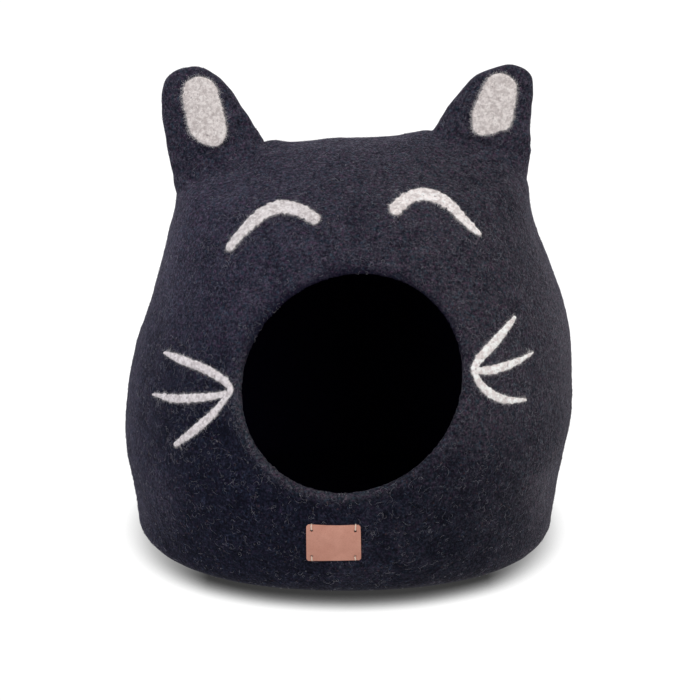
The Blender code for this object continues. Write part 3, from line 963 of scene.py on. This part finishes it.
def curl(felt, start, way, length, curling, rng):
    """A wool fibre that wanders over the felt from start, its ends tucked in."""
    turning = rng.normal(0.0, curling.bend)
    stride = length / curling.steps
    point, normal = felt.find_nearest(start)[:2]
    way = (way - normal * way.dot(normal)).normalized()
    points = []
    for i in range(curling.steps + 1):
        arch = math.sin(math.pi * i / curling.steps)
        points.append(point + normal * (curling.height * arch - TUCK))
        turning += rng.normal(0.0, curling.wobble)
        angle = turning * length / curling.steps
        way = (way * math.cos(angle) + normal.cross(way) * math.sin(angle)).normalized()
        point, normal = felt.find_nearest(point + way * stride)[:2]
        way = (way - normal * way.dot(normal)).normalized()
    return points


def leaning(ahead, aside, lean):
    """The direction on the face plane that leans from ahead to aside, as one in space."""
    flat = ahead * math.cos(lean) + aside * math.sin(lean)
    return ACROSS * float(flat[0]) + RISE * float(flat[1])


def fringe_tubes(outline, fringe, share, felt, rng):
    """Fibres that reach from a laid piece's edge over the felt."""
    after = np.roll(outline, -1, axis=0)
    ahead = after - outline
    sizes = np.hypot(*ahead.T)
    ends = np.cumsum(sizes)
    turn = math.copysign(1.0, np.sum(outline[:, 0] * after[:, 1] - after[:, 0] * outline[:, 1]))
    curling = Curling(3, 260.0, 90.0, fringe.height)
    tubes = []
    for place in rng.uniform(0.0, ends[-1], int(ends[-1] / FUZZ_SPACING * fringe.share * share)):
        i = int(np.searchsorted(ends, place))
        step = ahead[i] / sizes[i]
        across = np.array([step[1], -step[0]]) * turn
        inset = rng.uniform(FUZZ_INSET[0], FUZZ_INSET[1] * share)
        spot = outline[i] + step * (place - ends[i] + sizes[i]) - across * inset
        start, normal = pressed(felt, *spot, 0.0002)
        way = leaning(across, step, rng.normal(0.0, FUZZ_LEAN))
        reach = inset + share * (FUZZ_LEAST + abs(rng.normal(0.0, fringe.reach)))
        path = curl(felt, start, way, reach, curling, rng)
        path[0] = start + normal * 0.0001
        tubes.append(tube(path, FUZZ_RADIUS, 3))
    return tubes


def frayed_tubes(strip, tips, felt, rng):
    """Fibres that come loose along a whisker's last stretch and pass its tip."""
    length, row_at = curve_through(strip)
    tubes = []
    for end, inner in ((0.0, FRAY_LENGTH), (length, length - FRAY_LENGTH))[:tips]:
        tip, root = row_at(end), row_at(inner)
        ahead = (tip[:2] - root[:2]) / np.linalg.norm(tip[:2] - root[:2])
        aside = np.array([ahead[1], -ahead[0]])
        for _ in range(FRAYED):
            share = rng.uniform(0.0, 1.0)
            wide = rng.normal(0.0, FRAY_WIDTH) * root[2]
            spot = tip[:2] + (root[:2] - tip[:2]) * share + aside * wide
            start = pressed(felt, *spot, 0.0010)[0]
            way = leaning(ahead, aside, rng.normal(0.0, FRAY_LEAN))
            reach = FRAY_LENGTH * share + 0.0006 + abs(rng.normal(0.0, 0.0012))
            tubes.append(tube(curl(felt, start, way, reach, FRAY_CURLING, rng), FUZZ_RADIUS, 3))
    return tubes


# ---------------------------------------------------------------- materials
class Nodes:
    """A short way to write a node tree."""

    def __init__(self, tree):
        self.tree = tree

    def add(self, kind, inputs=None, **settings):
        node = self.tree.nodes.new("ShaderNode" + kind)
        for key, value in settings.items():
            setattr(node, key, value)
        self.fill(node, inputs or {})
        return node

    def fill(self, node, inputs):
        for key, value in inputs.items():
            if isinstance(value, bpy.types.NodeSocket):
                self.tree.links.new(value, node.inputs[key])
            else:
                node.inputs[key].default_value = value

    def math(self, operation, *values, clamp=False):
        inputs = dict(enumerate(values))
        return self.add("Math", inputs, operation=operation, use_clamp=clamp).outputs[0]

    def times(self, one, other):
        return self.math("MULTIPLY", one, other)

    def ramp(self, value, *stops):
        """stops are (place, level) pairs, in rising order of place."""
        node = self.add("ValToRGB", {0: value})
        elements = node.color_ramp.elements
        for element, (place, level) in zip(elements, (stops[0], stops[-1])):
            element.position, element.color = place, (level, level, level, 1.0)
        for place, level in stops[1:-1]:
            elements.new(place).color = (level, level, level, 1.0)
        return node.outputs[0]

    def mix(self, share, one, other, blend="MIX"):
        colours = [(*value, 1.0) if isinstance(value, tuple) else value for value in (one, other)]
        inputs = {0: share, 6: colours[0], 7: colours[1]}
        return self.add("Mix", inputs, data_type="RGBA", blend_type=blend).outputs[2]


class Material(Nodes):
    """The nodes of a material with one shader, whose patterns lie in the piece's own space."""

    def __init__(self, name):
        self.material = bpy.data.materials.new(name)
        self.material.use_nodes = True
        super().__init__(self.material.node_tree)
        self.place = self.add("TexCoord").outputs["Object"]

    def noise(self, scale, detail=2.0, roughness=0.5, distortion=0.0, **mapping):
        """mapping is what a Mapping node takes, such as Scale, where the noise needs one."""
        place = self.place
        if mapping:
            place = self.add("Mapping", {"Vector": place, **mapping}).outputs[0]
        inputs = {"Vector": place, "Scale": scale, "Detail": detail}
        inputs.update({"Roughness": roughness, "Distortion": distortion})
        return self.add("TexNoise", inputs).outputs[0]

    def swing(self, value, reach):
        """A value from 0 to 1, moved to lie around 0."""
        return self.times(self.math("SUBTRACT", value, 0.5), reach)

    def threads(self, scale, width, distortion, shift):
        """Thin curly lines: where a noise passes its middle value."""
        value = self.noise(scale, 1.0, 0.5, distortion, Location=shift)
        away = self.math("ABSOLUTE", self.math("SUBTRACT", value, 0.5))
        return self.math("SUBTRACT", 1.0, self.math("DIVIDE", away, width), clamp=True)

    def mark(self, name):
        return self.add("Attribute", attribute_name=name).outputs["Fac"]

    def finish(self, inputs, *bumps):
        """bumps are heights with their distance and strength, each on top of the one before."""
        shader = self.tree.nodes["Principled BSDF"]
        self.fill(shader, inputs)
        for height, distance, strength in bumps:
            bump = self.add("Bump", {"Height": height, "Distance": distance, "Strength": strength})
            if shader.inputs["Normal"].is_linked:
                below = shader.inputs["Normal"].links[0].from_socket
                self.fill(bump, {"Normal": below})
            self.fill(shader, {"Normal": bump.outputs[0]})
        return self.material


def felt_material():
    """Charcoal wool: navy and dark by the floor and greyer higher up, partly its own colour and partly
    painted light; painted black inside, as shade.
    """
    n = Material("charcoal_felt_wool")
    broad = n.noise(16.0, 3.0, 0.55)
    patchy = n.noise(75.0, 3.0, 0.6)
    clumps = n.noise(210.0, 2.0, 0.6)
    grain = n.noise(430.0, 3.0, 0.7)
    inside, grey_and_lit, lip, cool = [n.mark(name) for name in ("inside", "grey_and_lit", "lip", "cool")]
    # How grey and light the felt is: partly its own greyer wool, partly painted light, sheen and shade.
    level = n.math("ADD", grey_and_lit, n.swing(broad, 0.9))
    level = n.math("ADD", level, n.swing(patchy, 0.5), clamp=True)

    def graded(low, high):
        """From navy at the foot to grey higher up, partly the wool's own grey and partly painted light;
        bluer on the left of the face.
        """
        mixed = n.mix(level, low, high)
        blue = n.mix(1.0, mixed, (0.99, 0.980, 1.10), "MULTIPLY")
        grey = n.mix(1.0, mixed, (1.05, 1.02, 0.91), "MULTIPLY")
        return n.mix(cool, grey, blue)

    colour = graded((0.0030, 0.0036, 0.0096), (0.0160, 0.0152, 0.0262))
    # Lighter wool, tufts, hollows, hairs and pores: where each lies, and its two colours.
    for value, start, end, low, high in (
        (broad, (0.35, 0.0), (0.68, 1.0), (0.0055, 0.0062, 0.0145), (0.0266, 0.0250, 0.0390)),
        (patchy, (0.44, 0.0), (0.74, 0.8), (0.0088, 0.0096, 0.0205), (0.0380, 0.0358, 0.0545)),
        (clumps, (0.34, 0.8), (0.50, 0.0), (0.0014, 0.0018, 0.0056), (0.0078, 0.0076, 0.0150)),
        (grain, (0.50, 0.0), (0.70, 0.9), (0.0225, 0.0235, 0.0420), (0.0800, 0.0750, 0.1030)),
        (grain, (0.30, 0.9), (0.47, 0.0), (0.0006, 0.0008, 0.0028), (0.0030, 0.0030, 0.0068)),
    ):
        colour = n.mix(n.ramp(value, start, end), colour, graded(low, high))
    # The lower-left lip of the doorway: lighter worn wool, and painted light where it faces up.
    worn_and_lit_lip = n.ramp(grain, (0.40, 0.0), (0.66, 1.0))
    worn_and_lit_lip = n.mix(worn_and_lit_lip, (0.0150, 0.0150, 0.0225), (0.0840, 0.0810, 0.0980))
    colour = n.mix(n.times(lip, 0.85), colour, worn_and_lit_lip)
    dyes = n.noise(330.0, 2.0, 0.6, 0.4)
    for start, end, dye in (
        ((0.54, 0.0), (0.66, 0.85), (0.62, 1.12, 1.12)),
        ((0.34, 0.85), (0.46, 0.0), (1.42, 0.86, 1.10)),
    ):
        colour = n.mix(n.ramp(dyes, start, end), colour, n.mix(1.0, colour, dye, "MULTIPLY"))
    strand = graded((0.052, 0.057, 0.092), (0.135, 0.127, 0.162))
    fine = n.threads(150.0, 0.016, 0.8, (0.0, 0.0, 0.0))
    finer = n.threads(230.0, 0.018, 1.1, (0.31, 0.17, 0.43))
    where_fine = n.ramp(n.noise(55.0, 2.0, 0.6), (0.45, 0.0), (0.60, 1.0))
    where_finer = n.ramp(n.noise(90.0, 2.0, 0.6, 0.3), (0.46, 0.0), (0.60, 1.0))
    colour = n.mix(n.times(fine, n.times(where_fine, 0.64)), colour, strand)
    colour = n.mix(n.times(finer, n.times(where_finer, 0.60)), colour, strand)
    cells = n.add("TexVoronoi", {"Vector": n.place, "Scale": 330.0})
    tints = n.add("SeparateColor", {0: cells.outputs["Color"]})
    spot = n.ramp(cells.outputs["Distance"], (0.10, 1.0), (0.42, 0.0))
    # Few cells hold a fleck, red or blue.
    for channel, rare, common, fleck in (
        (0, 0.955, 0.965, (0.085, 0.044, 0.048)),
        (1, 0.945, 0.955, (0.040, 0.062, 0.110)),
    ):
        held = n.times(spot, n.ramp(tints.outputs[channel], (rare, 0.0), (common, 1.0)))
        colour = n.mix(n.times(held, 0.5), colour, fleck)
    # Painted shade: inside the cave and round the doorway's top the felt turns near black, and its
    # gloss and sheen are taken away.
    outer = n.math("SUBTRACT", 1.0, inside, clamp=True)
    nap = n.math("ADD", n.times(level, 0.13), 0.045)
    lively = n.math("ADD", n.ramp(grain, (0.36, 0.0), (0.62, 1.0)), 0.45)
    weave_up = n.noise(120.0, 1.0, Scale=(5.0, 5.0, 0.6))
    weave_on = n.noise(120.0, 1.0, Scale=(0.6, 0.6, 5.0))
    return n.finish(
        {
            "Base Color": n.mix(inside, colour, (0.0046, 0.0036, 0.0125)),
            "Roughness": 0.88,
            "Specular IOR Level": n.times(outer, 0.10),
            "Sheen Weight": n.times(n.times(nap, lively), outer),
            "Sheen Roughness": 0.35,
            "Sheen Tint": n.mix(cool, (0.88, 0.82, 0.96), (0.82, 0.76, 1.0)),
        },
        (patchy, 0.0012, 0.8),
        (n.math("ADD", weave_up, weave_on), 0.0007, 0.7),
        (clumps, 0.0010, 0.7),
        (grain, 0.0010, 0.9),
        (n.math("ADD", fine, finer), 0.0003, 0.35),
    )


def wool_material(name, tint):
    """Off-white needled wool: nubby in the middle, thin and grey at the edges."""
    def tone(*colour):
        return tuple(min(1.0, value * share) for value, share in zip(colour, tint))

    n = Material(name)
    broad = n.noise(200.0, 2.0, 0.6)
    nubs = n.noise(330.0, 2.0, 0.6, 0.6)
    grain = n.noise(620.0, 3.0, 0.65)
    strand = n.threads(210.0, 0.030, 1.0, (0.2, 0.1, 0.0))
    colour = tone(0.600, 0.543, 0.540)
    for value, start, end, over in (
        (broad, (0.38, 0.0), (0.60, 1.0), (0.850, 0.790, 0.785)),
        (nubs, (0.34, 0.70), (0.47, 0.0), (0.490, 0.434, 0.432)),
        (nubs, (0.54, 0.0), (0.68, 0.8), (0.950, 0.905, 0.900)),
        (grain, (0.30, 0.70), (0.46, 0.0), (0.420, 0.370, 0.370)),
    ):
        colour = n.mix(n.ramp(value, start, end), colour, tone(*over))
    colour = n.mix(n.times(strand, 0.40), colour, tone(0.94, 0.905, 0.90))
    pits = n.ramp(n.noise(240.0), (0.26, 0.7), (0.32, 0.0))
    colour = n.mix(pits, colour, (0.22, 0.19, 0.19))
    ragged = n.math("ADD", n.mark("thin"), n.swing(grain, 1.6))
    colour = n.mix(n.ramp(ragged, (0.50, 0.0), (1.15, 0.80)), colour, (0.150, 0.138, 0.155))
    return n.finish(
        {"Base Color": colour, "Roughness": 0.92, "Specular IOR Level": 0.25, "Sheen Weight": 0.12},
        (broad, 0.0006, 0.5),
        (nubs, 0.0006, 0.7),
        (grain, 0.0004, 0.6),
        (strand, 0.0002, 0.3),
    )


def leather_material():
    n = Material("tan_leather_plain")
    broad = n.noise(60.0, 3.0, 0.6)
    fine = n.noise(900.0, 3.0, 0.6)
    cells = {"Vector": n.place, "Scale": 1300.0}
    grain = n.add("TexVoronoi", cells, feature="DISTANCE_TO_EDGE").outputs["Distance"]
    colour = n.ramp(broad, (0.35, 0.0), (0.68, 1.0))
    colour = n.mix(colour, (0.560, 0.255, 0.185), (0.640, 0.312, 0.232))
    colour = n.mix(n.ramp(fine, (0.36, 0.35), (0.50, 0.0)), colour, (0.450, 0.198, 0.138))
    return n.finish(
        {"Base Color": colour, "Roughness": 0.55, "Specular IOR Level": 0.4},
        (n.ramp(grain, (0.0, 0.0), (0.22, 1.0)), 0.00012, 0.5),
        (fine, 0.0002, 0.4),
    )


def fibre_material(name, one, other, roughness=0.7):
    n = Material(name)
    colour = n.mix(n.ramp(n.noise(160.0, 1.0), (0.38, 0.0), (0.62, 1.0)), one, other)
    return n.finish({"Base Color": colour, "Roughness": roughness, "Specular IOR Level": 0.3})


def thread_material():
    n = Material("waxed_thread")
    twist = n.noise(1500.0, 1.0, Scale=(1.0, 1.0, 2.5))
    colour = n.mix(n.ramp(twist, (0.4, 0.0), (0.6, 1.0)), (0.62, 0.47, 0.37), (0.86, 0.72, 0.60))
    return n.finish({"Base Color": colour, "Roughness": 0.6}, (twist, 0.0002, 0.5))


# ---------------------------------------------------------------- the pieces
def finished(obj, material, replaced=None):
    obj.data.materials.clear()
    obj.data.materials.append(material)
    if replaced:
        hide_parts(replaced)
    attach(obj, ROOT)


def lay_wool(felt, rng):
    """The eyes, the whiskers and the wool on the ears, each with its fringe of fibres."""
    looks = {name: wool_material("pale_wool_" + name, tint) for name, tint in WOOL_TINTS_WITH_PAINTED_LIGHT.items()}
    fuzz = {(fringe, kind): [] for fringe in FRINGES for kind in FRINGE_SHARE}
    for number, laid in enumerate(LAID):
        name = "wool_" + laid.node.replace("_inlay", "")
        piece, outline = lay_piece(name, laid.strip, laid.laying, felt, 11.0 + 3.0 * number)
        finished(piece, looks[laid.look], laid.node)
        for fringe in FRINGES:
            share = FRINGE_SHARE[laid.kind]
            fuzz[fringe, laid.kind] += fringe_tubes(outline, fringe, share, felt, rng)
        fuzz[FRINGES[0], laid.kind] += frayed_tubes(laid.strip, laid.tips, felt, rng)
    fibre_looks = [fibre_material(*look) for look in FRINGE_LOOKS]
    for (fringe, kind), tubes in fuzz.items():
        look = fibre_looks[FRINGES.index(fringe)]
        finished(joined(f"wool_{fringe.name}_{kind}", tubes), look)


def make_patch(felt):
    patch, _ = lay_piece("leather_patch_dressed", PATCH, PATCH_LAYING, felt, 71.0)
    turns = np.linspace(0.0, 2 * math.pi, HOLE_POINTS + 1)[:-1]
    spokes = [(ACROSS * math.cos(t) + RISE * math.sin(t)) * HOLE_RADIUS for t in turns]
    for hole in PATCH_HOLES:
        rings = []
        for height in (-0.004, 0.006):
            middle = pressed(felt, hole.x, hole.rise, height)[0]
            rings.append([middle + spoke for spoke in spokes])
        punch = loft("punch", rings)
        boolean(patch, "DIFFERENCE", punch)
        baked(patch)
        bpy.data.objects.remove(punch, do_unlink=True)
    finished(patch, leather_material(), "leather_patch")


def stray_weights(mesh, middles):
    """How likely a stray fibre is on each face: more low down, near the wool and at the lip."""
    heart = Vector((0.0, 0.0, 0.17))
    outer = [f.normal.dot(Vector(c) - heart) > 0.0 for f, c in zip(mesh.polygons, middles)]
    weights = np.array([f.area for f in mesh.polygons]) * np.array(outer)
    weights = weights * (middles[:, 2] > 0.004)
    on_front = middles[:, 1] < -0.05
    x, rise = middles[:, 0], middles @ np.array(RISE)
    low_band = bell(middles[:, 2] - 0.09, 0.06)
    near_wool = np.zeros(len(middles))
    for laid in LAID:
        if laid.kind != "ear":
            away = line_distance(x, rise, [row[:2] for row in laid.strip])
            near_wool = np.maximum(near_wool, bell(away, 0.015))
    near_wool *= on_front
    rim, angle = door_place(x, rise)
    near_rim = bell(rim - 0.005, 0.006) * towards(angle, 205) * on_front
    weights = weights * (0.50 + 0.85 * low_band + 4.6 * near_wool + 4.0 * near_rim)
    return weights / weights.sum()


def make_strays(mesh, felt, rng):
    """Stray fibres of other wool, felted into the charcoal."""
    corners = [[mesh.vertices[v].co for v in face.vertices] for face in mesh.polygons]
    middles = np.array([np.mean(places, axis=0) for places in corners])
    weights = stray_weights(mesh, middles)
    for stray in STRAYS:
        curling = Curling(7, stray.bend, 200.0, 0.0006)
        tubes = []
        for pick in rng.choice(len(weights), stray.count, p=weights):
            way = Vector(rng.normal(size=3))
            length = stray.length * rng.uniform(0.35, 1.5)
            path = curl(felt, Vector(middles[pick]), way, length, curling, rng)
            tubes.append(tube(path, stray.radius, 3))
        look = fibre_material(stray.name + "_look", stray.one, stray.other)
        finished(joined(stray.name, tubes), look)


def make_stitches(felt):
    """The thread: from each hole over the patch's edge into the felt."""
    top = PATCH_LAYING.thickness
    stitches = []
    for hole in PATCH_HOLES:
        way = math.copysign(1.0, hole.edge - hole.rise)
        run = (
            (hole.x, hole.rise + 0.0006 * way, -0.0012),
            (hole.x, hole.rise + 0.0008 * way, top * 0.5),
            (hole.x + hole.lean * 0.3, hole.rise + 0.0013 * way, top + 0.00025),
            (hole.x + hole.lean * 0.6, (hole.rise + hole.edge) / 2, top + 0.00020),
            (hole.x + hole.lean * 0.9, hole.edge - 0.0009 * way, top + 0.00015),
            (hole.x + hole.lean, hole.edge + 0.0002 * way, top * 0.5),
            (hole.x + hole.lean, hole.edge + 0.0004 * way, -0.0008),
            (hole.x + hole.lean, hole.edge + 0.0001 * way, -0.0026),
        )
        rows = smooth_rows([(*row, 0.0) for row in run], THREAD_POINTS)
        path = [pressed(felt, *row[:3])[0] for row in rows]
        stitches.append(tube(path, THREAD_RADIUS, 10, taper=False))
    finished(joined("patch_stitches", stitches), thread_material())


# ---------------------------------------------------------------- stage, lights and camera
def make_floor():
    """A white floor that glows evenly, with a painted shadow close to the felt, paler at the sides."""
    half = FLOOR_SIZE / 2
    mesh = bpy.data.meshes.new("floor")
    corners = [(-half, -half, 0), (half, -half, 0), (half, half, 0), (-half, half, 0)]
    mesh.from_pydata(corners, [], [(0, 1, 2, 3)])
    floor = linked("floor", mesh)
    floor.location.z = -FLOOR_GAP
    white = bpy.data.materials.new("white_floor")
    white.use_nodes = True
    white.node_tree.nodes.clear()
    n = Nodes(white.node_tree)
    openness = n.add("AmbientOcclusion", {"Distance": FLOOR_SHADE}).outputs["AO"]
    place = n.add("TexCoord").outputs["Object"]
    across = n.add("SeparateXYZ", {"Vector": place}).outputs["X"]
    sides = {"Value": n.math("ABSOLUTE", across), "From Min": SHADE_SIDES[0]}
    sides.update({"From Max": SHADE_SIDES[1], "To Max": SHADE_SIDES[2]})
    paler = n.add("MapRange", sides).outputs[0]
    colour = n.mix(paler, n.ramp(openness, *FLOOR_TONES), (1.0, 1.0, 1.0))
    paint = n.add("Emission", {"Color": colour, "Strength": FLOOR_STRENGTH})
    n.add("OutputMaterial", {"Surface": paint.outputs[0]})
    mesh.materials.append(white)
    floor.visible_diffuse = False
    floor.visible_glossy = False


def make_world():
    """Soft light from all round, a little less from below, and plain white for the camera."""
    world = bpy.data.worlds.new("studio")
    world.use_nodes = True
    n = Nodes(world.node_tree)
    place = n.add("TexCoord").outputs["Generated"]
    height = n.add("SeparateXYZ", {"Vector": place}).outputs["Z"]
    heights = {"Value": height, "From Min": -HORIZON, "From Max": HORIZON}
    level = n.add("MapRange", {**heights, "To Min": UNDER, "To Max": SKY}).outputs[0]
    seen = n.add("LightPath").outputs["Is Camera Ray"]
    inputs = {"Color": (1.0, 1.0, 1.0, 1.0), "Strength": n.math("ADD", level, seen)}
    n.fill(n.tree.nodes["Background"], inputs)
    bpy.context.scene.world = world


def make_lights():
    for light in LIGHTS:
        data = bpy.data.lights.new(light.name, "AREA")
        data.size = light.size
        data.energy = light.power
        data.color = light.colour
        lamp = linked(light.name, data)
        lamp.location = light.at
        away = Vector(light.at) - Vector((0.0, 0.0, LIT_HEIGHT))
        lamp.rotation_euler = away.to_track_quat("Z", "Y").to_euler()


def make_camera():
    data = bpy.data.cameras.new("camera")
    data.sensor_width = 36.0
    data.lens = data.sensor_width * FOCAL_PIXELS / IMAGE_PIXELS
    data.shift_x = SHIFT_PIXELS[0] / IMAGE_PIXELS
    data.shift_y = SHIFT_PIXELS[1] / IMAGE_PIXELS
    camera = linked("camera", data)
    back = Vector((0.0, -math.cos(ELEVATION), math.sin(ELEVATION)))
    camera.location = Vector((0.0, 0.0, AIM_HEIGHT)) + back * DISTANCE
    camera.rotation_euler = (-back).to_track_quat("-Z", "Y").to_euler()
    bpy.context.scene.camera = camera
    bpy.context.scene.view_settings.view_transform = "Standard"


rng = np.random.default_rng(8878)
shell = make_shell()
felt_surface = tree_of(shell)
finished(shell, felt_material(), "felt_shell")
lay_wool(felt_surface, rng)
make_patch(felt_surface)
make_strays(shell.data, felt_surface, rng)
make_stitches(felt_surface)
make_floor()
make_world()
make_lights()
make_camera()
